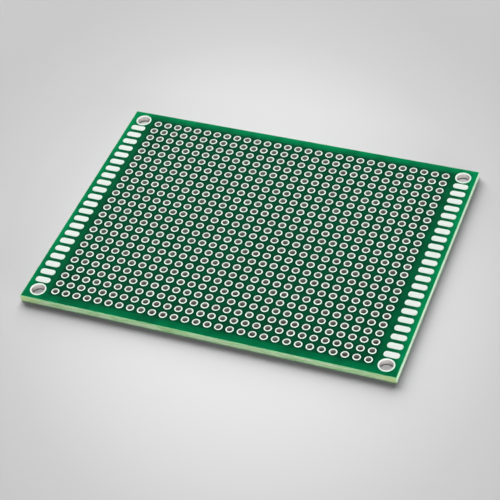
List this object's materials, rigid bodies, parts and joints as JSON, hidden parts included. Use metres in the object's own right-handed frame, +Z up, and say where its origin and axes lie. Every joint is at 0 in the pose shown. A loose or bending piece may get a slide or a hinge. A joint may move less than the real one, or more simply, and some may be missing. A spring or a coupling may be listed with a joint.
{
  "type": "prototype board",
  "caption": "Flat double-sided prototype board: a drilled laminate with plated lead holes on a square grid, edge pads on both short ends and plated mounting holes in its corners.",
  "frame": {"origin": "middle of the underside, on the surface that the board lies on", "axes": "+X along the long side towards the right end, +Y along the short side towards the back, +Z up through the board"},
  "size_m": [0.085, 0.065, 0.0017],
  "materials": {
    "laminate": "pale glass epoxy, its plated lands left bare by the mask",
    "solder_mask": "green solder mask film, satin gloss",
    "tin": "bright tinned copper"
  },
  "bodies": {
    "root": {"laminate": "laminate", "solder_mask_top": "solder_mask", "solder_mask_bottom": "solder_mask", "edge_pads_left_top": "tin", "edge_pads_left_bottom": "tin", "edge_pads_right_top": "tin", "edge_pads_right_bottom": "tin", "mounting_eyelet_front_left": "tin", "mounting_eyelet_front_right": "tin", "mounting_eyelet_back_left": "tin", "mounting_eyelet_back_right": "tin"}
  },
  "joints": []
}
